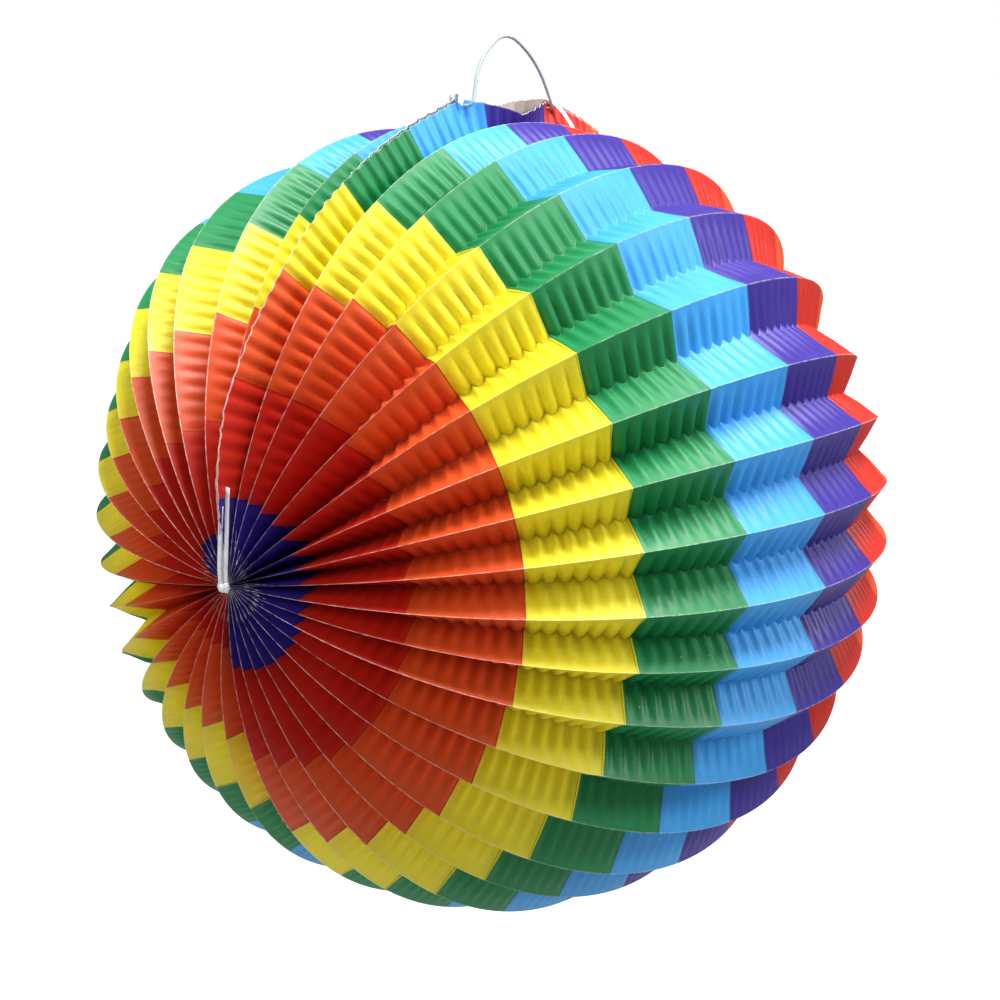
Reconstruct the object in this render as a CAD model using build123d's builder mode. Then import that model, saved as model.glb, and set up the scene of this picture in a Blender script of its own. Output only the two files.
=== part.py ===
"""Round accordion lantern of crimped paper: pleats from pole to pole, a wire bow and four white ties.

Millimetres and degrees. The origin is where the bow hangs on its hook, +Z is up, and the polar axis
of the ball runs along X below it. Azimuth turns about the polar axis, from straight up towards -Y.
The paper's folds run from pole to pole. The ring of pleats is open at the top, at azimuth 0, where
two free end flaps stand up and hang on the feet of the bow.
"""

import os
from math import acos, asin, cos, degrees, exp, radians, sin, sqrt, tan

from build123d import *

os.makedirs("parts", exist_ok=True)

# ---- the folded paper ball ----
ridge_radius = 125.0  # polar axis to an outer fold, at the equator
arc_shift = 7.8  # a fold's arc is centred this far from the polar axis, towards the fold
pleat_depth = 7.5  # outer fold to inner fold, at the equator
fold_count = 36  # outer folds round the ball, with the open seam as one of them
paper = 0.2  # sheet thickness
fold_gap = 0.1  # each pleat's clearance to the inner fold line it shares
throat_radius = 6.5  # outer folds end this far from the polar axis
station_count = 25  # sections along each pleat
flap_stations = 11  # sections of a flap from a foot of the bow to a pole
mouth_stations = 3  # sections of a flap from the middle of the mouth to a foot

# ---- the top, drawn up by the weight on the bow ----
seam_lift = 3.0  # how far the paper is drawn up at the seam
lift_length = 70.0  # how far along the axis the lift reaches
lift_turn = 14.0  # how far round the ball the lift reaches, in degrees

# ---- the two free end flaps ----
seam_gap = 1.4  # between the flaps' free edges
edge_margin = 1.8  # flap edge above the centre of its punched hole
mouth_rise = 1.0  # flap edge above the outer folds, at the middle of the mouth
mouth_gape = 8.0  # sideways bow of each flap at the middle of the mouth
edge_fade = 22.0  # the free edge comes down to the outer folds over this last part of the arc, in degrees

# ---- the wire bow ----
wire = 1.0  # diameter
foot_spacing = 42.0  # between the two feet, along the axis
foot_stand = 2.7  # feet above the outer folds beside them
bow_height = 20.7  # middle of the wire at the feet to the same at the top
shoulder_spacing = 30.0  # between the bow's shoulders
crown_slope = 31.0  # of the wire on each side of the top bend, in degrees
crown_radius = 12.0
shoulder_radius = 24.0
hook_reach = 4.0  # half length of the hook that goes through the flaps
hook_radius = 1.5
hook_tip = 5.0
hole_clearance = 0.3  # punched hole to wire, all round

# ---- the white ties ----
tie_thickness = 0.5
tie_clearance = 0.3
foot_tie_width = 2.4
foot_tie_tail = 9.0
pole_tie_width = 3.6
pole_tie_height = 29.0  # long tail
short_tail_width = 1.4
short_tail_height = 24.5
knot_radius = 2.7
knot_stand = 1.2  # the knot and the tails are this far outside the ends of the folds
knot_thickness = 2.0
knot_taper = 20.0  # of the knot's side, in degrees
roll_length = 13.0  # the strip is rolled up inside the throat
roll_wall = 1.0

# ---- worked out from the sizes above ----
arc_radius = ridge_radius - arc_shift
pitch = 360 / fold_count
wedge = tan(radians(pitch / 2))
panel_width = sqrt(pleat_depth**2 + (wedge * (ridge_radius - pleat_depth) - fold_gap) ** 2)
last_zeta = degrees(acos((throat_radius - arc_shift) / arc_radius))
foot_x = foot_spacing / 2
feet_z = wire / 2 - bow_height
foot_ridge = sqrt(arc_radius**2 - foot_x**2) + arc_shift
foot_rise = foot_stand + edge_margin
axis_z = feet_z - foot_stand - foot_ridge


def zeta_of(station):
    """Angle along the fold's arc, from the equator, at one station."""
    return last_zeta * (2 * station / (station_count - 1) - 1)


def lift(x, azimuth):
    """How far the paper is drawn up at a place near the seam."""
    turn = abs((azimuth + 180) % 360 - 180)
    return seam_lift * exp(-turn / lift_turn) * exp(-((x / lift_length) ** 2))


def section_plane(azimuth, zeta):
    """Plane across a pleat, centred on its outer fold: x across the pleat, y out of the ball."""
    a, z = radians(azimuth), radians(zeta)
    rho = arc_radius * cos(z) + arc_shift
    return Plane(
        origin=(arc_radius * sin(z), -rho * sin(a), axis_z + rho * cos(a)),
        x_dir=(0, cos(a), sin(a)),
        z_dir=(cos(z), sin(z) * sin(a), -sin(z) * cos(a)),
    )


def valley(azimuth, zeta, side):
    """Inner fold beside an outer fold, in that fold's section plane. Side +1 is the lower azimuth."""
    z = radians(zeta)
    rho = arc_radius * cos(z) + arc_shift
    run, slope = wedge * rho - fold_gap, wedge * cos(z)
    under = run**2 * slope**2 - (1 + slope**2) * (run**2 - panel_width**2)
    depth = (run * slope + sqrt(under)) / (1 + slope**2)
    y = lift(arc_radius * sin(z), azimuth - side * pitch / 2) - depth
    return Vector(side * (wedge * (rho + y * cos(z)) - fold_gap), y)


def chevron(azimuth, zeta):
    """Outline of one pleat: inner fold, outer fold, inner fold, and back along the inside."""
    top = Vector(0, lift(arc_radius * sin(radians(zeta)), azimuth))
    left, right = valley(azimuth, zeta, -1), valley(azimuth, zeta, 1)
    to_left, to_right = (left - top).normalized(), (right - top).normalized()
    inward = (to_left + to_right).normalized()
    half_sine = sqrt((1 - to_left.dot(to_right)) / 2)

    def inner(corner, along):
        across = inward - along * inward.dot(along)
        return corner + across.normalized() * paper

    return [left, top, right, inner(right, to_right), top + inward * (paper / half_sine), inner(left, to_left)]


def flap_edge(zeta):
    """Free edge of a flap in the seam's section plane: its distance from the seam and its rise."""
    x = abs(arc_radius * sin(radians(zeta)))
    if x >= foot_x:
        return seam_gap / 2, foot_rise * min(1, (last_zeta - abs(zeta)) / edge_fade)
    share = (x / foot_x) ** 2
    return seam_gap / 2 + mouth_gape * (1 - share), mouth_rise + (foot_rise - mouth_rise) * share


def flap_outline(zeta, side):
    """Outline of one end flap in the seam's section plane, from its inner fold to its free edge."""
    away, rise = flap_edge(zeta)
    foot, edge = valley(0, zeta, side), Vector(side * away, rise)
    along = (edge - foot).normalized()
    into_slot = Vector(-side * along.Y, side * along.X) * paper
    return [foot, edge, edge + into_slot, foot + into_slot]


def flap_zetas():
    """Stations along a flap, with the feet of the bow and the middle of the mouth among them."""
    foot_zeta = degrees(asin(foot_x / arc_radius))
    outer = [foot_zeta + (last_zeta - foot_zeta) * i / flap_stations for i in range(flap_stations + 1)]
    inner = [foot_zeta * i / mouth_stations for i in range(1 - mouth_stations, mouth_stations)]
    return [-z for z in reversed(outer)] + inner + outer


# ---- pleats: each one an outer fold with half a panel's fan on both sides ----
for index in range(1, fold_count):
    with BuildPart() as pleat:
        for station in range(station_count):
            zeta = zeta_of(station)
            with BuildSketch(section_plane(index * pitch, zeta)):
                with BuildLine():
                    Polyline(*chevron(index * pitch, zeta), close=True)
                make_face()
        loft(ruled=True)
    pleat.part.label = f"pleat_{index:02d}"
    export_step(pleat.part, f"parts/pleat_{index:02d}.step")

# ---- end flaps: single panels with a free edge, punched for the feet of the bow ----
for flap_name, side in (("flap_first", -1), ("flap_last", 1)):
    with BuildPart() as flap:
        for zeta in flap_zetas():
            with BuildSketch(section_plane(0, zeta)):
                with BuildLine():
                    Polyline(*flap_outline(zeta, side), close=True)
                make_face()
        loft(ruled=True)
        with Locations((-foot_x, 0, feet_z), (foot_x, 0, feet_z)):
            Cylinder(wire / 2 + hole_clearance, 2 * hook_reach, rotation=(90, 0, 0), mode=Mode.SUBTRACT)
    flap.part.label = flap_name
    export_step(flap.part, f"parts/{flap_name}.step")

# ---- bow: one bent wire, its two feet hooked through both flaps ----
shoulder_x = shoulder_spacing / 2
crown_tilt = radians(crown_slope)
crown_corner = bow_height + crown_radius * (1 / cos(crown_tilt) - 1)
shoulder_height = crown_corner - shoulder_x * tan(crown_tilt)
shoulder_y = -hook_reach * (1 - shoulder_height / bow_height)
right_half = [
    (shoulder_x, shoulder_y, feet_z + shoulder_height),
    (foot_x, -hook_reach, feet_z),
    (foot_x, hook_reach, feet_z),
    (foot_x, hook_reach, feet_z + hook_tip),
]
left_half = [(-x, y, z) for x, y, z in reversed(right_half)]
half_bends = [shoulder_radius, hook_radius, hook_radius]
with BuildPart() as bow:
    with BuildLine() as bow_path:
        FilletPolyline(
            *left_half,
            (0, 0, feet_z + crown_corner),
            *right_half,
            radius=[*reversed(half_bends), crown_radius, *half_bends],
        )
    with BuildSketch(Plane(origin=bow_path.line @ 0, z_dir=bow_path.line % 0)):
        Circle(wire / 2)
    sweep()
bow.part.label = "bow"
export_step(bow.part, "parts/bow.step")

# ---- foot ties: a short strip over the first flap's edge beside each foot, one tail on each side ----
tie_x = foot_x + wire / 2 + tie_clearance + foot_tie_width / 2
tie_zeta = degrees(asin(tie_x / (arc_radius + foot_stand)))
tie_edge = Vector(-flap_edge(tie_zeta)[0], flap_edge(tie_zeta)[1])
tie_run = (valley(0, tie_zeta, -1) - tie_edge).normalized()
tie_lift = Vector(tie_run.Y, -tie_run.X) * (tie_clearance + tie_thickness / 2)
tie_crown = tie_edge.Y + tie_clearance + tie_thickness / 2
for tie_name, end in (("foot_tie_left", -1), ("foot_tie_right", 1)):
    with BuildPart() as foot_tie:
        with BuildSketch(section_plane(0, end * tie_zeta)):
            with BuildLine():
                Polyline(
                    tie_edge + tie_lift + tie_run * foot_tie_tail,
                    tie_edge + tie_lift,
                    Vector(tie_edge.X, tie_crown),
                    Vector(0, tie_crown),
                    Vector(0, tie_crown - foot_tie_tail),
                )
            trace(line_width=tie_thickness)
        extrude(amount=foot_tie_width / 2, both=True)
    foot_tie.part.label = tie_name
    export_step(foot_tie.part, f"parts/{tie_name}.step")

# ---- pole ties: the strip's roll holds the gathered ends, its knot is outside, its tails stand up ----
roll_radius = min(throat_radius, throat_radius - panel_width * cos(radians(last_zeta))) - tie_clearance
roll_start = arc_radius + knot_stand
for tie_name, end in (("pole_tie_left", -1), ("pole_tie_right", 1)):
    outward = Plane(origin=(end * roll_start, 0, axis_z), x_dir=(0, 1, 0), z_dir=(end, 0, 0))
    with BuildPart() as pole_tie:
        with BuildSketch(outward):
            Circle(roll_radius)
        extrude(amount=-roll_length)
        with BuildSketch(outward.offset(-roll_wall)):
            Circle(roll_radius - roll_wall)
        extrude(amount=-roll_length, mode=Mode.SUBTRACT)
        with BuildSketch(outward):
            Circle(knot_radius)
        extrude(amount=knot_thickness, taper=knot_taper)
        with BuildSketch(Plane(origin=(end * roll_start, 0, axis_z), z_dir=(0, 0, 1))):
            Rectangle(tie_thickness, pole_tie_width)
        extrude(amount=pole_tie_height)
        with BuildSketch(Plane(origin=(end * (roll_start + 2 * tie_thickness), 0, axis_z), z_dir=(0, 0, 1))):
            Rectangle(tie_thickness, short_tail_width)
        extrude(amount=short_tail_height)
    pole_tie.part.label = tie_name
    export_step(pole_tie.part, f"parts/{tie_name}.step")
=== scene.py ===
"""Looks of a round accordion lantern: striped, crimped paper in folds from pole to pole, hung on a wire bow.

The row frame is in metres, with the hanging point at the origin, +Z up and the polar axis of the ball along
X. Sizes below are in millimetres and angles in degrees, unless a name or a comment says otherwise. An azimuth
is the angle round the polar axis, from the seam on top towards -Y.
"""

import bpy
import numpy as np
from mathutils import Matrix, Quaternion, Vector


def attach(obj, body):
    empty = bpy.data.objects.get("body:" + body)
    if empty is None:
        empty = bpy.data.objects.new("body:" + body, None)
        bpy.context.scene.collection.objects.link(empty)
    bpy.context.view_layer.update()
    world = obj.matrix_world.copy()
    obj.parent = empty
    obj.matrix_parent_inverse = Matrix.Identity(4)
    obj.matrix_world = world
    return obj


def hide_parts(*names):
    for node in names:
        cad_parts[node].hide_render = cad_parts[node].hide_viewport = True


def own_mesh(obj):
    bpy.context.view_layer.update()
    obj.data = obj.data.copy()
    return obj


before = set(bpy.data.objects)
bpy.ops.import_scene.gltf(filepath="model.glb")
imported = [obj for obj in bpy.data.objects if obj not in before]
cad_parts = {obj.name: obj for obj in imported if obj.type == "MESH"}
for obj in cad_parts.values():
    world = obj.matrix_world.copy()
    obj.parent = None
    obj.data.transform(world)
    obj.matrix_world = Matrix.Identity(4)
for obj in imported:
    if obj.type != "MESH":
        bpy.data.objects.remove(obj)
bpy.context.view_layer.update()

# ---- Camera ----
# Stands a little above the middle of the ball, to the left of its front, so that one pole faces it.
# A longish lens about half a metre away, held with a slight roll, gives the mild perspective.
MM = 0.001
AXIS_HEIGHT = -146.0
ball_centre = Vector((0, 0, AXIS_HEIGHT)) * MM
camera_bearing = Vector((-0.8117, -0.5842, 0)).normalized()
camera_elevation = np.radians(13.56)
camera_roll = np.radians(2.07)
camera_distance = 0.5363  # metres
camera_data = bpy.data.cameras.new("camera")
camera = bpy.data.objects.new("camera", camera_data)
bpy.context.scene.collection.objects.link(camera)
toward_camera = camera_bearing * np.cos(camera_elevation) + Vector((0, 0, np.sin(camera_elevation)))
camera.location = ball_centre + toward_camera * camera_distance
aimed = (-toward_camera).to_track_quat("-Z", "Y") @ Quaternion((0, 0, 1), camera_roll)
camera.rotation_euler = aimed.to_euler()
camera_data.sensor_width, camera_data.lens = 36.0, 60.3
camera_data.shift_x, camera_data.shift_y = 0.011, 0.011
bpy.context.scene.camera = camera


# ---- Studio ----
# A white floor far below the hanging lantern, and white surroundings, as in a light tent. Both show as plain
# white, but give the lantern no more than soft light. Large soft lamps: the main one above, a broad one at
# the camera's left and a weaker one at its right.
def linear_colour(hex_value):
    """Linear RGBA of an sRGB hex colour."""
    channels = np.array([(hex_value >> shift) & 255 for shift in (16, 8, 0)]) / 255
    linear = np.where(channels <= 0.04045, channels / 12.92, ((channels + 0.055) / 1.055) ** 2.4)
    return (*map(float, linear), 1.0)


def add_node(tree, kind, inputs=None, **settings):
    """One node with its settings; inputs maps a socket to a value or to the output linked to it."""
    node = tree.nodes.new(kind)
    for setting, value in settings.items():
        setattr(node, setting, value)
    for socket, value in (inputs or {}).items():
        if isinstance(value, bpy.types.NodeSocket):
            tree.links.new(value, node.inputs[socket])
        else:
            node.inputs[socket].default_value = value
    return node


def new_material(name):
    """A material without nodes, and its node tree."""
    material = bpy.data.materials.new(name)
    material.use_nodes = True
    material.node_tree.nodes.clear()
    return material, material.node_tree


WHITE = (1, 1, 1, 1)
FLOOR_DEPTH, FLOOR_SPAN = 0.75, 30.0  # metres
TENT_BRIGHTNESS = 0.3
floor_mesh = bpy.data.meshes.new("floor")
floor_corners = [(x, y, -FLOOR_DEPTH) for x, y in ((-1, -1), (1, -1), (1, 1), (-1, 1))]
floor_mesh.from_pydata([(x * FLOOR_SPAN, y * FLOOR_SPAN, z) for x, y, z in floor_corners], [], [(0, 1, 2, 3)])
floor = bpy.data.objects.new("floor", floor_mesh)
bpy.context.scene.collection.objects.link(floor)
floor_paint, tree = new_material("floor_paint")
seen = add_node(tree, "ShaderNodeLightPath").outputs["Is Camera Ray"]
paint_inputs = {
    "Base Color": linear_colour(0xD2D2D2),
    "Roughness": 0.9,
    "Emission Color": WHITE,
    "Emission Strength": seen,
}
painted = add_node(tree, "ShaderNodeBsdfPrincipled", paint_inputs)
add_node(tree, "ShaderNodeOutputMaterial", {"Surface": painted.outputs["BSDF"]})
floor_mesh.materials.append(floor_paint)

surroundings = bpy.data.worlds.new("surroundings")
surroundings.use_nodes = True
tree = surroundings.node_tree
tree.nodes.clear()
seen = add_node(tree, "ShaderNodeLightPath").outputs["Is Camera Ray"]
brightness = add_node(tree, "ShaderNodeMapRange", {0: seen, 3: TENT_BRIGHTNESS, 4: 1.0}).outputs[0]
tent = add_node(tree, "ShaderNodeBackground", {"Color": WHITE, "Strength": brightness})
add_node(tree, "ShaderNodeOutputWorld", {"Surface": tent.outputs[0]})
bpy.context.scene.world = surroundings
bpy.context.scene.view_settings.view_transform = "Standard"

# Name, place and size in metres, and watts.
lamps = (
    ("lamp_above", (0.05, -0.25, 0.9), 0.6, 19.0),
    ("lamp_left", (-1.2, 0.35, 0.35), 0.8, 6.0),
    ("lamp_right", (0.6, -1.3, 0.7), 0.6, 13.0),
)
for lamp_name, lamp_place, lamp_size, watts in lamps:
    lamp_data = bpy.data.lights.new(lamp_name, "AREA")
    lamp_data.shape, lamp_data.size, lamp_data.energy = "DISK", lamp_size, watts
    lamp = bpy.data.objects.new(lamp_name, lamp_data)
    lamp.location = lamp_place
    lamp.rotation_euler = (ball_centre - Vector(lamp_place)).to_track_quat("-Z", "Y").to_euler()
    bpy.context.scene.collection.objects.link(lamp)

# ---- Folded paper ----
# Light printed paper, pressed between ribbed dies so that crimps cross every panel, then pleated from pole to
# pole. Each fold is an arc from pole to pole, and the panels between them have the same width everywhere.
# The hand-folded sheet is uneven, and hangs from the bow under its own weight.
ARC_RADIUS, ARC_SHIFT = 117.2, 7.8  # of an outer fold, and how far its centre lies out from the polar axis
PITCH = 10.0
PLEAT_DEPTH = 7.5
PAPER = 0.2
wedge = np.tan(np.radians(PITCH / 2))
panel_width = np.hypot(PLEAT_DEPTH, wedge * (ARC_RADIUS + ARC_SHIFT - PLEAT_DEPTH))

# The pleats beside the mouth hang a little between the bow's feet, and one shoulder of the ball stands up.
SEAM_SAG, SAG_TURN, SAG_LENGTH = 4.5, 14.0, 48.0
FAR_LIFT, FAR_AZIMUTH, FAR_TURN, FAR_ANGLE, FAR_WIDTH = 5.0, 322.0, 18.0, -42.0, 24.0
# Azimuths on the evenly folded ball, and where the same places are as it hangs.
EVEN_AZIMUTHS = (0, 10, 20, 30, 60, 80, 100, 120, 150, 180, 320, 330, 340, 350, 360)
HANGING_AZIMUTHS = (0, 5.4, 15.2, 26, 60.5, 79.5, 97.5, 115.5, 147.5, 180, 320, 329, 342, 353.5, 360)
SHEET_JOIN, JOIN_PULL = 185.0, 2.0  # azimuth of the glued inner fold between the two sheets; it lies deeper
# How far each fold is off as a whole, and how much it wavers, in millimetres and then in degrees.
RISE_ERROR, RISE_WAVER = 0.35, 0.25
TURN_ERROR, OUTER_TURN_WAVER, INNER_TURN_WAVER = 0.25, 0.15, 0.2
FOLD_WAVES = 3
GATHERED_RADIUS = 40.0  # nearer to the polar axis than this, the folds are held ever more evenly

# Places along a fold go by the angle zeta from the equator, as seen from the centre of its arc.
CRIMPS, STEPS_PER_CRIMP = 86, 5
LAST_ZETA = np.radians(93.5)
zetas = np.linspace(-LAST_ZETA, LAST_ZETA, CRIMPS * STEPS_PER_CRIMP + 1)
along = ARC_RADIUS * zetas
even_rho = ARC_RADIUS * np.cos(zetas) + ARC_SHIFT
crimp_phase = np.arange(len(zetas)) / STEPS_PER_CRIMP

# Depth of a crimp at the inner fold, by distance from the equator along the fold.
CRIMP_DISTANCES, CRIMP_DEPTHS = (0, 92, 122, 153, 184), (1.85, 1.85, 1.15, 0.6, 0.2)
CRIMP_STRENGTHS = (0.85, 1.15)  # the weakest and the strongest crimp
CRIMP_ROOM = 2.5  # where half a pleat is narrower than this, its crimps are squeezed flatter
crimp_depths = np.interp(np.abs(along), CRIMP_DISTANCES, CRIMP_DEPTHS)
random = np.random.default_rng(11)


def drawn_up(x, azimuth):
    """How far the paper stands above its even arc, at places x along the axis."""
    turn = abs((azimuth + 180) % 360 - 180)
    sag = SEAM_SAG * np.exp(-turn / SAG_TURN) * np.exp(-((x / SAG_LENGTH) ** 2))
    off_turn, off_angle = (azimuth - FAR_AZIMUTH) / FAR_TURN, (np.degrees(zetas) - FAR_ANGLE) / FAR_WIDTH
    return FAR_LIFT * np.exp(-(off_turn**2) - off_angle**2) - sag


def place(radius, azimuth, x):
    """Points of the row frame, from the radius about the polar axis, the azimuth and the place along it."""
    turn = np.radians(azimuth)
    return np.stack([x, -radius * np.sin(turn), AXIS_HEIGHT + radius * np.cos(turn)], -1)


def waver(size, waves):
    """Smooth random offsets along a fold, about size large."""
    amounts, starts = random.normal(0, size, waves), random.uniform(0, 2 * np.pi, waves)
    turns = np.linspace(0, np.pi, len(zetas))
    return sum(amounts[i] / (i + 1) * np.sin(2 * (i + 1) * turns + starts[i]) for i in range(waves))


def uneven_rise():
    """How far a fold is off in height, along its length."""
    error = random.normal(0, RISE_ERROR) + waver(RISE_WAVER, FOLD_WAVES)
    return error * np.clip(even_rho / GATHERED_RADIUS, 0, 1)


def uneven_turn(azimuth, size):
    """Azimuths of a fold as it hangs, from its azimuth on the even ball."""
    hanging = np.interp(azimuth, EVEN_AZIMUTHS, HANGING_AZIMUTHS)
    return hanging + random.normal(0, TURN_ERROR) + waver(size, FOLD_WAVES)


def outer_fold(azimuth):
    """Line of an outer fold from pole to pole."""
    rise = drawn_up(ARC_RADIUS * np.sin(zetas), azimuth) + uneven_rise()
    turn = uneven_turn(azimuth, OUTER_TURN_WAVER)
    return place(even_rho + rise * np.cos(zetas), turn, (ARC_RADIUS + rise) * np.sin(zetas))


def inner_fold(azimuth):
    """Line of an inner fold from pole to pole, before crimping, and the way the crimps push it."""
    # The depth at which a panel of even width reaches the plane midway between two outer folds.
    run, slope = wedge * even_rho, wedge * np.cos(zetas)
    root = np.sqrt(run**2 * slope**2 - (1 + slope**2) * (run**2 - panel_width**2))
    rise = drawn_up(ARC_RADIUS * np.sin(zetas), azimuth) - (run * slope + root) / (1 + slope**2)
    rise = rise - JOIN_PULL * (azimuth == SHEET_JOIN) + uneven_rise()
    turn = uneven_turn(azimuth, INNER_TURN_WAVER)
    radius = (even_rho + rise * np.cos(zetas)) / np.cos(np.radians(PITCH / 2))
    sideways = np.stack([np.zeros_like(turn), -np.cos(np.radians(turn)), -np.sin(np.radians(turn))], -1)
    strengths = random.uniform(*CRIMP_STRENGTHS, CRIMPS + 1)
    lobes = np.abs(np.sin(np.pi * crimp_phase)) - 2 / np.pi
    room = np.clip(wedge * radius / CRIMP_ROOM, 0, 1)
    push = crimp_depths * lobes * strengths[crimp_phase.astype(int)] * room
    return place(radius, turn, (ARC_RADIUS + rise) * np.sin(zetas)), sideways * push[:, None]


# Printed side: a semi-gloss offset print, six inks in bands of equal width, counted from the pole at -X. Each
# colour is a little uneven, with a dark line where two inks overlap and pale lines where it has worn off the
# sharp folds, most of all near the poles. Its patterns go by millimetres along and across the sheet, and each
# fold has its own.
BAND_WIDTH, EQUATOR_BAND = 30.64, 4.5
inks = (
    0xD9501A,  # orange
    0xEBDC26,  # yellow
    0x0B8247,  # green
    0x3CA2E8,  # light blue
    0x36238E,  # violet
    0xC4200C,  # red
)
OVERLAP_INK, PALE_PAPER = 0x3A2420, 0xF3EDE6
OVERLAP, OVERLAP_STRENGTH = 0.35, 0.45  # width of the dark line between two inks, and how dark it is
CLOUDS_PER_MM, CLOUD_CONTRAST = 0.09, 0.34  # ink clouds about 11 mm across
SPECKS_PER_MM, SPECK_CONTRAST = 1.4, 0.16  # specks about 0.7 mm across
RUBBED, RUBBED_THROUGH = 0.32, 0.12  # width of the worn line beside an outer fold, and of its palest part
FOOT_RUBBED_THROUGH, FOOT_WEAR = 0.05, 0.6  # the palest part beside an inner fold, and how worn it is
PATCHES_PER_MM = 0.55  # the worn lines come and go about every 2 mm
WEAR_DISTANCES, EQUATOR_WEAR = (75.0, 150.0), 0.38  # from the equator; wear grows between them to its full
GLOSS = (0.44, 0.56)  # roughness of the print
GRAINS_PER_MM, GRAIN_HEIGHT = 2.6, 0.00012  # paper grain of 0.4 mm, as fine as shows; its height in metres


def band_colour(tree):
    """Sockets of the printed bands' colour, of the count of bands along the fold and of the place there."""
    place_along = add_node(tree, "ShaderNodeAttribute", attribute_name="along_mm").outputs["Fac"]
    count_inputs = {0: place_along, 1: 1 / BAND_WIDTH, 2: EQUATOR_BAND}
    count = add_node(tree, "ShaderNodeMath", count_inputs, operation="MULTIPLY_ADD").outputs[0]
    colours = float(len(inks))
    cycle = add_node(tree, "ShaderNodeMath", {0: count, 1: colours}, operation="FLOORED_MODULO").outputs[0]
    share = add_node(tree, "ShaderNodeMath", {0: cycle, 1: colours}, operation="DIVIDE").outputs[0]
    ramp = add_node(tree, "ShaderNodeValToRGB", {"Fac": share})
    ramp.color_ramp.interpolation = "CONSTANT"
    stops = ramp.color_ramp.elements
    for index, ink in enumerate(inks):
        stop = stops[index] if index < 2 else stops.new(index / len(inks))
        stop.position, stop.color = index / len(inks), linear_colour(ink)
    return ramp.outputs["Color"], count, place_along


# In a Mix node socket 0 is the share of the second colour, and 6 and 7 are the colours. In a Map Range node
# sockets 1 and 2 are the range it reads, and 3 and 4 the range it gives.
printed_paper, tree = new_material("offset_printed_crimped_paper")
MIXED, MULTIPLIED = {"data_type": "RGBA"}, {"data_type": "RGBA", "blend_type": "MULTIPLY"}
colour, count, place_along = band_colour(tree)
place_across = add_node(tree, "ShaderNodeAttribute", attribute_name="across_mm").outputs["Fac"]
fold_number = add_node(tree, "ShaderNodeAttribute", attribute_name="fold_number").outputs["Fac"]
place_inputs = {0: place_along, 1: place_across, 2: fold_number}
sheet_place = add_node(tree, "ShaderNodeCombineXYZ", place_inputs).outputs[0]

to_edge = add_node(tree, "ShaderNodeMath", {0: count, 1: 0.5}, operation="PINGPONG").outputs[0]
line_inputs = {0: to_edge, 1: OVERLAP / 2 / BAND_WIDTH}
on_overlap = add_node(tree, "ShaderNodeMath", line_inputs, operation="LESS_THAN").outputs[0]
line_inputs = {0: on_overlap, 1: OVERLAP_STRENGTH}
overlap = add_node(tree, "ShaderNodeMath", line_inputs, operation="MULTIPLY").outputs[0]
line_inputs = {0: overlap, 6: colour, 7: linear_colour(OVERLAP_INK)}
colour = add_node(tree, "ShaderNodeMix", line_inputs, **MULTIPLIED).outputs[2]

cloud_inputs = {"Vector": sheet_place, "Scale": CLOUDS_PER_MM, "Detail": 3.0}
cloudy = add_node(tree, "ShaderNodeTexNoise", cloud_inputs).outputs["Fac"]
speck_inputs = {"Vector": sheet_place, "Scale": SPECKS_PER_MM, "Detail": 2.0}
speckled = add_node(tree, "ShaderNodeTexNoise", speck_inputs).outputs["Fac"]
darkest = 1 - (CLOUD_CONTRAST + SPECK_CONTRAST) / 2
uneven_inputs = {0: cloudy, 1: CLOUD_CONTRAST, 2: darkest}
uneven = add_node(tree, "ShaderNodeMath", uneven_inputs, operation="MULTIPLY_ADD").outputs[0]
uneven_inputs = {0: speckled, 1: SPECK_CONTRAST, 2: uneven}
uneven = add_node(tree, "ShaderNodeMath", uneven_inputs, operation="MULTIPLY_ADD").outputs[0]
uneven_grey = add_node(tree, "ShaderNodeCombineColor", {0: uneven, 1: uneven, 2: uneven}).outputs[0]
colour = add_node(tree, "ShaderNodeMix", {0: 1.0, 6: colour, 7: uneven_grey}, **MULTIPLIED).outputs[2]

top_inputs = {0: place_across, 1: RUBBED_THROUGH, 2: RUBBED, 3: 1.0, 4: 0.0}
near_top = add_node(tree, "ShaderNodeMapRange", top_inputs).outputs[0]
foot_rubbed = panel_width - RUBBED, panel_width - FOOT_RUBBED_THROUGH
foot_inputs = {0: place_across, 1: foot_rubbed[0], 2: foot_rubbed[1], 3: 0.0, 4: FOOT_WEAR}
near_foot = add_node(tree, "ShaderNodeMapRange", foot_inputs).outputs[0]
at_fold = add_node(tree, "ShaderNodeMath", {0: near_top, 1: near_foot}, operation="MAXIMUM").outputs[0]
patch_inputs = {"Vector": sheet_place, "Scale": PATCHES_PER_MM, "Detail": 4.0}
patchy = add_node(tree, "ShaderNodeTexNoise", patch_inputs).outputs["Fac"]
patchy = add_node(tree, "ShaderNodeMapRange", {0: patchy, 1: 0.36, 2: 0.6, 3: 0.15, 4: 0.85}).outputs[0]
from_equator = add_node(tree, "ShaderNodeMath", {0: place_along}, operation="ABSOLUTE").outputs[0]
wear_inputs = {0: from_equator, 1: WEAR_DISTANCES[0], 2: WEAR_DISTANCES[1], 3: EQUATOR_WEAR, 4: 1.0}
wear = add_node(tree, "ShaderNodeMapRange", wear_inputs).outputs[0]
rubbed = add_node(tree, "ShaderNodeMath", {0: at_fold, 1: patchy}, operation="MULTIPLY").outputs[0]
rubbed = add_node(tree, "ShaderNodeMath", {0: rubbed, 1: wear}, operation="MULTIPLY").outputs[0]
rubbed_inputs = {0: rubbed, 6: colour, 7: linear_colour(PALE_PAPER)}
colour = add_node(tree, "ShaderNodeMix", rubbed_inputs, **MIXED).outputs[2]

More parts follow.
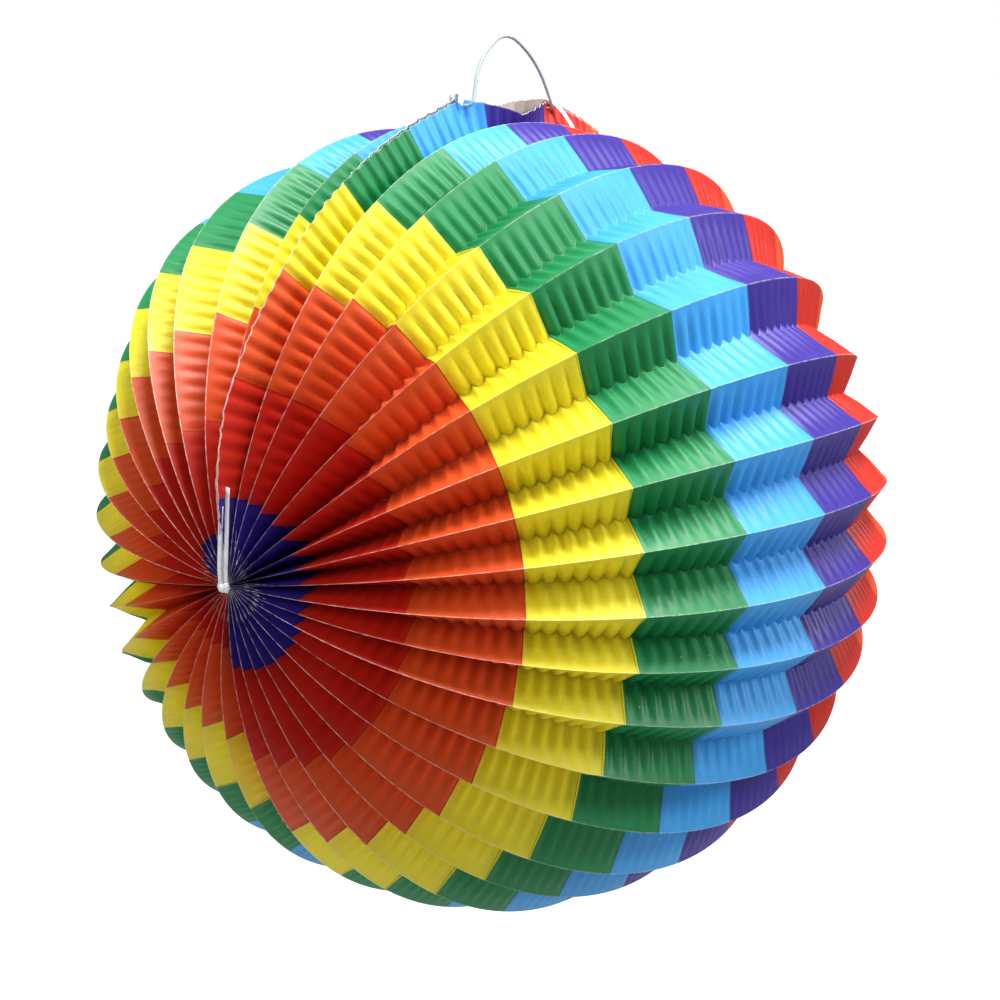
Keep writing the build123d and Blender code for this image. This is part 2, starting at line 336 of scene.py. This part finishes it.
grain_inputs = {"Vector": sheet_place, "Scale": GRAINS_PER_MM, "Detail": 3.0}
grain = add_node(tree, "ShaderNodeTexNoise", grain_inputs).outputs["Fac"]
grain_inputs = {"Height": grain, "Strength": 0.12, "Distance": GRAIN_HEIGHT}
bump = add_node(tree, "ShaderNodeBump", grain_inputs).outputs[0]
gloss_inputs = {0: cloudy, 1: 0.3, 2: 0.7, 3: GLOSS[0], 4: GLOSS[1]}
gloss = add_node(tree, "ShaderNodeMapRange", gloss_inputs).outputs[0]
printed_inputs = {"Base Color": colour, "Roughness": gloss, "IOR": 1.5, "Normal": bump}
printed = add_node(tree, "ShaderNodeBsdfPrincipled", printed_inputs)
add_node(tree, "ShaderNodeOutputMaterial", {"Surface": printed.outputs["BSDF"]})

# Bare side and cut edges: white wood-free paper, matt and finely fibrous. The print shows through it faintly.
FIBRES_PER_METRE, FIBRE_HEIGHT = 1800.0, 0.0001  # fibres about 0.6 mm apart, and their height in metres
SHOWN_THROUGH = 0.16
bare_paper, tree = new_material("bare_crimped_paper")
print_behind = band_colour(tree)[0]
fibres = add_node(tree, "ShaderNodeTexNoise", {"Scale": FIBRES_PER_METRE, "Detail": 3.0}).outputs["Fac"]
fibre_tone = add_node(tree, "ShaderNodeMapRange", {0: fibres, 1: 0.3, 2: 0.7, 3: 0.92, 4: 1.0}).outputs[0]
grey_inputs = {0: fibre_tone, 1: fibre_tone, 2: fibre_tone}
fibre_grey = add_node(tree, "ShaderNodeCombineColor", grey_inputs).outputs[0]
tint_inputs = {0: SHOWN_THROUGH, 6: linear_colour(0xF1EDE4), 7: print_behind}
bare_colour = add_node(tree, "ShaderNodeMix", tint_inputs, **MIXED).outputs[2]
tint_inputs = {0: 1.0, 6: bare_colour, 7: fibre_grey}
bare_colour = add_node(tree, "ShaderNodeMix", tint_inputs, **MULTIPLIED).outputs[2]
fibre_inputs = {"Height": fibres, "Strength": 0.2, "Distance": FIBRE_HEIGHT}
fibre_bump = add_node(tree, "ShaderNodeBump", fibre_inputs).outputs[0]
bare_inputs = {"Base Color": bare_colour, "Roughness": 0.8, "IOR": 1.5, "Normal": fibre_bump}
bare = add_node(tree, "ShaderNodeBsdfPrincipled", bare_inputs)
add_node(tree, "ShaderNodeOutputMaterial", {"Surface": bare.outputs["BSDF"]})

# ---- Pleats ----
# Thirty-five outer folds with a panel on each side; with the two end flaps they are the one folded sheet.
# Each pleat rides on its own body and narrows as the fan is closed, so that neighbours stay joined at their
# inner fold.
FOLDS = 36
CRIMP_START, CRIMP_FULL = 0.03, 0.55  # shares of a panel's width at which its crimps begin and are full
THINNED = 0.4  # at the poles the sheet is at most this share of the room between two folds
# The print of the second sheet lies nearer to the pole at -X, by this many bands.
SHIFT_AZIMUTHS, SHIFT_BANDS = (190, 225, 265, 290, 310, 355), (-1.15, -1.1, -0.78, -0.5, -0.32, -0.3)


def panel(top, foot, push, shares):
    """Rows of points down a panel, from an outer line to an inner fold; crimps die out towards the top."""
    rows = []
    for share in shares:
        reach = np.clip((share - CRIMP_START) / (CRIMP_FULL - CRIMP_START), 0, 1)
        rows.append(top + (foot - top) * share + push * reach * reach * (3 - 2 * reach))
    return np.array(rows)


def unit(vectors):
    """The vectors at length 1."""
    return vectors / np.linalg.norm(vectors, axis=-1, keepdims=True)


def print_shift(azimuth):
    """How many bands the print lies off at an azimuth; on the first sheet it lies true."""
    return np.interp(azimuth, SHIFT_AZIMUTHS, SHIFT_BANDS) if azimuth > SHEET_JOIN else 0.0


def closed_sheet(name, outer, inner, across, crease_rows, number):
    """Closed mesh of a sheet from the points of its printed and bare sides, smooth but for its creases."""
    rows, stations = outer.shape[:2]
    grid = np.arange(rows * stations).reshape(rows, stations)
    below = grid.size
    top = np.stack([grid[:-1, :-1], grid[1:, :-1], grid[1:, 1:], grid[:-1, 1:]], -1).reshape(-1, 4)
    border = np.concatenate([grid[0, :-1], grid[:-1, -1], grid[-1, :0:-1], grid[:0:-1, 0]])
    following = np.roll(border, -1)
    rim = np.stack([border, following, following + below, border + below], -1)
    faces = np.concatenate([top, top[:, ::-1] + below, rim])
    mesh = bpy.data.meshes.new(name)
    points = np.concatenate([outer.reshape(-1, 3), inner.reshape(-1, 3)]) * MM
    mesh.from_pydata(points.tolist(), [], faces.tolist())
    crease = np.zeros(2 * below, int)
    for row in crease_rows:
        crease[grid[row]], crease[grid[row] + below] = 1, 2
    crease[border], crease[border + below] = 3, 4
    ends = np.empty(2 * len(mesh.edges), int)
    mesh.edges.foreach_get("vertices", ends)
    ends = crease[ends.reshape(-1, 2)]
    sharp = mesh.attributes.new("sharp_edge", "BOOLEAN", "EDGE")
    sharp.data.foreach_set("value", (ends[:, 0] == ends[:, 1]) & (ends[:, 0] > 0))
    mesh.polygons.foreach_set("use_smooth", np.ones(len(faces), bool))
    mesh.polygons.foreach_set("material_index", np.repeat([0, 1], [len(top), len(top) + len(rim)]))
    for label, values in (
        ("along_mm", np.tile(along - BAND_WIDTH * print_shift(PITCH * number), (rows, 1))),
        ("across_mm", across),
        ("fold_number", np.full((rows, stations), float(number))),
    ):
        attribute = mesh.attributes.new(label, "FLOAT", "POINT")
        attribute.data.foreach_set("value", np.tile(values.ravel(), 2).astype(np.float32))
    for material in (printed_paper, bare_paper):
        mesh.materials.append(material)
    sheet = bpy.data.objects.new(name, mesh)
    bpy.context.scene.collection.objects.link(sheet)
    return sheet


shares = np.array([0, 0.1, 0.28, 0.5, 0.75, 1])
ridge_row = len(shares) - 1
inner_folds = [inner_fold(PITCH * (number + 0.5)) for number in range(FOLDS)]
for number in range(1, FOLDS):
    ridge = outer_fold(PITCH * number)
    (low_foot, low_push), (high_foot, high_push) = inner_folds[number - 1], inner_folds[number]
    low_side = panel(ridge, low_foot, low_push, shares)
    high_side = panel(ridge, high_foot, high_push, shares)
    outer = np.concatenate([low_side[::-1], high_side[1:]])
    forward = unit(np.gradient(ridge, axis=0))
    low_normal = unit(np.cross(forward, low_foot - ridge))
    high_normal = unit(np.cross(high_foot - ridge, forward))
    half_width = np.linalg.norm(high_foot - low_foot, axis=1) / 2
    thickness = np.minimum(PAPER, THINNED * half_width)[:, None]
    middle = unit(low_normal + high_normal)
    middle_depth = thickness / np.sum(middle * low_normal, axis=1, keepdims=True)
    inner = outer.copy()
    inner[:ridge_row] -= low_normal * thickness
    inner[ridge_row] -= middle * np.minimum(middle_depth, panel_width / 2)
    inner[ridge_row + 1 :] -= high_normal * thickness
    across = np.repeat(np.concatenate([shares[::-1], shares[1:]])[:, None] * panel_width, len(zetas), axis=1)
    piece = closed_sheet(f"folded_paper_{number:02d}", outer, inner, across, [ridge_row], number)
    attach(piece, f"pleat_{number:02d}")
    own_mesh(piece)
    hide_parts(f"pleat_{number:02d}")

# ---- End flaps ----
# The two ends of the folded sheet: single panels that stand up at the seam, cut with scissors and pierced for
# the bow. Between the feet of the bow they gape, so that a lamp can be lowered through the mouth.
SEAM_GAP, MOUTH_GAPE = 0.6, 7.0
FOOT_X = 21.0
# Height of the free edge above the outer folds, by the angle from the equator along the fold.
EDGE_ANGLES = (-93.5, -80, -71, -60, -50, -38, -24, -15, -10.3, 0, 10.3, 16, 24, 31, 50, 70, 93.5)
EDGE_RISES = (0, 6, 8, 6.5, 5, 4, 3.2, 3.6, 4.6, -1.5, 4.8, 5, 6, 6.5, 5, 3, 0)
EDGE_WAVER, EDGE_WAVES, EDGE_ROUGHNESS = 0.35, 5, 0.12
EDGE_CRIMP = 0.45  # crimps at the free edge, as a share of those at the inner fold
EDGE_ROOM = 0.8  # the free edge keeps within this share of the way to the first inner fold
flap_shares = np.linspace(0, 1, 9)
edge_rise = np.interp(np.degrees(zetas), EDGE_ANGLES, EDGE_RISES)
mouth = np.clip(np.abs(ARC_RADIUS * np.sin(zetas)) / FOOT_X, 0, 1) ** 2
edge_away = SEAM_GAP / 2 + MOUTH_GAPE * (1 - mouth)
edge_away = np.minimum(edge_away, wedge * (even_rho + edge_rise * np.cos(zetas)) * EDGE_ROOM)
flaps = (("flap_first", "first_end", 0, -1), ("flap_last", "last_end", FOLDS - 1, 1))
for flap_name, body, fold, side in flaps:
    foot, push = inner_folds[fold]
    rise = edge_rise + waver(EDGE_WAVER, EDGE_WAVES) + random.normal(0, EDGE_ROUGHNESS, len(zetas))
    height = AXIS_HEIGHT + even_rho + rise * np.cos(zetas)
    edge = np.stack([(ARC_RADIUS + rise) * np.sin(zetas), side * edge_away, height], -1)
    rows = []
    for share in flap_shares:
        rows.append(edge + (foot - edge) * share + push * (EDGE_CRIMP + (1 - EDGE_CRIMP) * share))
    outer = np.array(rows)
    forward = unit(np.gradient(edge, axis=0))
    normal = unit(np.cross(foot - edge, forward)) * -side
    inner = outer - normal * np.minimum(PAPER, THINNED * edge_away)[:, None]
    across = np.repeat(flap_shares[:, None] * panel_width, len(zetas), axis=1)
    if side > 0:
        outer, inner, across = outer[::-1], inner[::-1], across[::-1]
    piece = closed_sheet(f"paper_{flap_name}", outer, inner, across, [], fold)
    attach(piece, body)
    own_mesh(piece)
    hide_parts(flap_name)

# ---- Bow ----
# One length of 1 mm steel wire with a pale grey lacquer, bent by hand into a loop to hang the lantern on.
# Each foot turns through the punched holes of both flaps and up again.
WIRE = 1.0
FOOT_HEIGHT, BOW_HEIGHT = -20.2, 20.7
CROWN_RADIUS, CROWN_TILT = 12.0, np.radians(31.0)
SHOULDER_X, SHOULDER_RADIUS = 15.0, 24.0
HOOK_REACH, HOOK_TIP, HOOK_RADIUS = 4.0, 3.0, 1.5


def rounded_path(corners, radii, steps=10):
    """Points along straight runs between corners, each corner rounded to its radius."""
    corners = np.array(corners, float)
    path = [corners[0]]
    for before, corner, after, radius in zip(corners, corners[1:], corners[2:], radii):
        back, on = unit(before - corner), unit(after - corner)
        half = np.arccos(np.clip(back @ on, -1, 1)) / 2
        middle = corner + unit(back + on) * radius / np.sin(half)
        start, end = corner + back * radius / np.tan(half), corner + on * radius / np.tan(half)
        for share in np.linspace(0, 1, steps):
            path.append(middle + unit((start - middle) * (1 - share) + (end - middle) * share) * radius)
    return np.array(path + [corners[-1]])


def swept(name, path, side, section, material, sizes=None):
    """Closed mesh of a section carried along a path.

    The section's first axis starts along side and is carried on, or has the given side at every point.
    """
    forward = unit(np.gradient(path, axis=0))
    sides = np.array(side, float)
    if sides.ndim == 1:
        carried = [sides]
        for direction in forward:
            carried.append(unit(carried[-1] - direction * (carried[-1] @ direction)))
        sides = np.array(carried[1:])
    else:
        sides = unit(sides - forward * np.sum(sides * forward, axis=1, keepdims=True))
    ups = np.cross(forward, sides)
    sizes = np.ones((len(path), 2)) if sizes is None else np.array(sizes)
    first = (section[None, :, 0] * sizes[:, :1])[..., None] * sides[:, None]
    second = (section[None, :, 1] * sizes[:, 1:])[..., None] * ups[:, None]
    rings = path[:, None] + first + second
    count, corners = len(path), len(section)
    ids = np.arange(count * corners).reshape(count, corners)
    faces = []
    for lower, upper in zip(ids, ids[1:]):
        faces += np.stack([lower, np.roll(lower, -1), np.roll(upper, -1), upper], -1).tolist()
    faces += [ids[0][::-1].tolist(), ids[-1].tolist()]
    mesh = bpy.data.meshes.new(name)
    mesh.from_pydata((rings.reshape(-1, 3) * MM).tolist(), [], faces)
    mesh.polygons.foreach_set("use_smooth", [True] * (len(faces) - 2) + [False, False])
    mesh.materials.append(material)
    made = bpy.data.objects.new(name, mesh)
    bpy.context.scene.collection.objects.link(made)
    return made


# Lacquer over drawn wire: an even satin, a little darker in flecks about 2 mm long.
FLECKS_PER_METRE, LACQUER_HEIGHT = 500.0, 0.00005
lacquered_wire, tree = new_material("pale_lacquered_steel_wire")
drawn = add_node(tree, "ShaderNodeTexCoord").outputs["Object"]
fleck_inputs = {"Vector": drawn, "Scale": FLECKS_PER_METRE, "Detail": 2.0}
flecks = add_node(tree, "ShaderNodeTexNoise", fleck_inputs).outputs["Fac"]
fleck_share = add_node(tree, "ShaderNodeMapRange", {0: flecks, 1: 0.55, 2: 0.75}).outputs[0]
lacquer_inputs = {0: fleck_share, 6: linear_colour(0xB2BFC0), 7: linear_colour(0xA3B0B2)}
lacquer = add_node(tree, "ShaderNodeMix", lacquer_inputs, **MIXED).outputs[2]
lacquer_inputs = {"Height": flecks, "Strength": 0.06, "Distance": LACQUER_HEIGHT}
lacquer_bump = add_node(tree, "ShaderNodeBump", lacquer_inputs).outputs[0]
wire_inputs = {"Base Color": lacquer, "Roughness": 0.45, "IOR": 1.5, "Normal": lacquer_bump}
wire_shader = add_node(tree, "ShaderNodeBsdfPrincipled", wire_inputs)
add_node(tree, "ShaderNodeOutputMaterial", {"Surface": wire_shader.outputs["BSDF"]})

crown_corner = BOW_HEIGHT + CROWN_RADIUS * (1 / np.cos(CROWN_TILT) - 1)
shoulder_height = crown_corner - SHOULDER_X * np.tan(CROWN_TILT)
shoulder_y = -HOOK_REACH * (1 - shoulder_height / BOW_HEIGHT)
right_half = [
    (SHOULDER_X, shoulder_y, FOOT_HEIGHT + shoulder_height),
    (FOOT_X, -HOOK_REACH, FOOT_HEIGHT),
    (FOOT_X, HOOK_REACH, FOOT_HEIGHT),
    (FOOT_X, HOOK_REACH, FOOT_HEIGHT + HOOK_TIP),
]
left_half = [(-x, y, z) for x, y, z in reversed(right_half)]
half_radii = [SHOULDER_RADIUS, HOOK_RADIUS, HOOK_RADIUS]
bow_path = rounded_path(
    [*left_half, (0, 0, FOOT_HEIGHT + crown_corner), *right_half],
    [*reversed(half_radii), CROWN_RADIUS, *half_radii],
)
round_turns = np.linspace(0, 2 * np.pi, 17)[:-1]
round_section = np.stack([np.cos(round_turns), np.sin(round_turns)], -1) * WIRE / 2
bow = swept("wire_bow", bow_path, (1, 0, 0), round_section, lacquered_wire)
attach(bow, "bow")
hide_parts("bow")

# ---- Foot ties ----
# Short pieces of white plastic strip, looped over the flap beside each foot of the bow to stop it sliding.
# One tail lies along the outside of the flap and the other hangs down into the mouth.
FOOT_TIE_X = 23.0
FOOT_STRIP_WIDTH, STRIP_THICKNESS = 2.0, 0.3


def smooth_path(points, steps=8):
    """Points along a soft curve through the given ones."""
    points = np.array(points, float)
    padded = np.concatenate([[2 * points[0] - points[1]], points, [2 * points[-1] - points[-2]]])
    path = []
    for a, b, c, d in zip(padded, padded[1:], padded[2:], padded[3:]):
        for share in np.linspace(0, 1, steps, endpoint=False):
            square, cube = (2 * a - 5 * b + 4 * c - d) * share**2, (3 * b - a - 3 * c + d) * share**3
            path.append(0.5 * (2 * b + (c - a) * share + square + cube))
    return np.array(path + [points[-1]])


# Strip slit from extruded film: white and satin, with fine wrinkles about 1.4 mm apart that catch the light.
WRINKLES_PER_METRE, WRINKLE_HEIGHT = 700.0, 0.00015
tie_strip, tree = new_material("white_plastic_strip")
strip_place = add_node(tree, "ShaderNodeTexCoord").outputs["Object"]
wrinkle_inputs = {"Vector": strip_place, "Scale": WRINKLES_PER_METRE, "Detail": 4.0}
wrinkles = add_node(tree, "ShaderNodeTexNoise", wrinkle_inputs).outputs["Fac"]
wrinkle_share = add_node(tree, "ShaderNodeMapRange", {0: wrinkles, 1: 0.4, 2: 0.7}).outputs[0]
tone_inputs = {0: wrinkle_share, 6: linear_colour(0xF6F7F8), 7: linear_colour(0xDDE3E8)}
strip_tone = add_node(tree, "ShaderNodeMix", tone_inputs, **MIXED).outputs[2]
wrinkle_inputs = {"Height": wrinkles, "Strength": 0.35, "Distance": WRINKLE_HEIGHT}
strip_bump = add_node(tree, "ShaderNodeBump", wrinkle_inputs).outputs[0]
strip_inputs = {"Base Color": strip_tone, "Roughness": 0.38, "IOR": 1.46, "Normal": strip_bump}
strip_shader = add_node(tree, "ShaderNodeBsdfPrincipled", strip_inputs)
add_node(tree, "ShaderNodeOutputMaterial", {"Surface": strip_shader.outputs["BSDF"]})

strip_steps = (-0.5, -0.25, 0, 0.25, 0.5)
one_side, other_side = [(step, -0.5) for step in strip_steps], [(step, 0.5) for step in strip_steps[::-1]]
strip_section = np.array(one_side + other_side)


def strip(name, path, widths, side=(1, 0, 0)):
    """Piece of the strip along a path, with its width at every point."""
    sizes = np.stack([np.broadcast_to(widths, len(path)), np.full(len(path), STRIP_THICKNESS)], -1)
    return swept(name, path, side, strip_section, tie_strip, sizes)


for tie_name, end, reach in (("foot_tie_left", -1, 0.25), ("foot_tie_right", 1, 1.0)):
    tie_x = end * FOOT_TIE_X
    strip_path = smooth_path(
        [
            (tie_x + end * 6.5 * reach, -1.0 - 5.2 * reach, -17.8 - 8.5 * reach),
            (tie_x + end * 3.6 * reach, -1.0 - 3.4 * reach, -17.6 - 4.2 * reach),
            (tie_x + end * 1.2 * reach, -1.0 - 1.4 * reach, -17.5 - 1.2 * reach),
            (tie_x, -0.7, -17.2),
            (tie_x, 0.1, -17.6),
            (tie_x, 0.15, -21.5),
            (tie_x + end * 0.4, -0.1, -27.0),
        ]
    )
    tie = strip(f"strip_{tie_name}", strip_path, FOOT_STRIP_WIDTH)
    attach(tie, "first_end")
    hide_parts(tie_name)

# ---- Pole ties ----
# At each pole the same strip gathers the ends of all the folds and is knotted outside. Its two tails stand
# up, and the knot is the strip itself, pulled tight in three crossing turns.
KNOT_REACH, KNOT_OUT = 117.8, 0.9  # where the knot rests on the paper, and its middle beyond that
TURN_TILTS = (0.35, -0.5, 1.2)  # radians
TURN_REACH, TURN_DEPTH, TURN_WIDTH = 1.9, 0.9, 1.3
for tie_name, end in (("pole_tie_left", -1), ("pole_tie_right", 1)):
    knot_x = end * KNOT_REACH
    parts = []
    tail = smooth_path(
        [
            (knot_x + end * 0.2, 0.2, AXIS_HEIGHT - 1.5),
            (knot_x + end * 1.0, 0.1, AXIS_HEIGHT + 3),
            (knot_x + end * 0.9, -0.1, AXIS_HEIGHT + 13),
            (knot_x + end * 0.4, 0.0, AXIS_HEIGHT + 27),
        ]
    )
    widths = np.interp(np.linspace(0, 1, len(tail)), [0, 0.15, 0.3, 1], [2.0, 2.4, 3.1, 3.3])
    parts.append(strip(f"{tie_name}_tail", tail, widths, (0, 1, 0)))
    short = smooth_path(
        [
            (knot_x + end * 1.6, 0.3, AXIS_HEIGHT - 0.5),
            (knot_x + end * 2.0, 0.5, AXIS_HEIGHT + 6),
            (knot_x + end * 1.6, 0.2, AXIS_HEIGHT + 22),
        ]
    )
    widths = np.interp(np.linspace(0, 1, len(short)), [0, 0.3, 1], [1.2, 1.1, 1.4])
    parts.append(strip(f"{tie_name}_short_tail", short, widths, (0, 1, 0)))
    for turn_number, tilt in enumerate(TURN_TILTS):
        loop_turns = np.linspace(0, 2 * np.pi * 0.97, 40)
        long_axis = np.array([0, np.cos(tilt), np.sin(tilt)])
        flat_axis = np.array([end, 0, 0])
        reach, depth = TURN_REACH - 0.3 * turn_number, TURN_DEPTH + 0.2 * turn_number
        loop = np.array([knot_x + end * KNOT_OUT, 0, AXIS_HEIGHT]) + (
            np.cos(loop_turns)[:, None] * long_axis * reach + np.sin(loop_turns)[:, None] * flat_axis * depth
        )
        loop_side = np.tile(np.cross(long_axis, flat_axis), (len(loop), 1))
        widths = TURN_WIDTH + 0.2 * np.sin(3 * loop_turns + turn_number)
        parts.append(strip(f"{tie_name}_turn_{turn_number}", loop, widths, loop_side))
    for part in parts:
        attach(part, "first_end")
    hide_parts(tie_name)
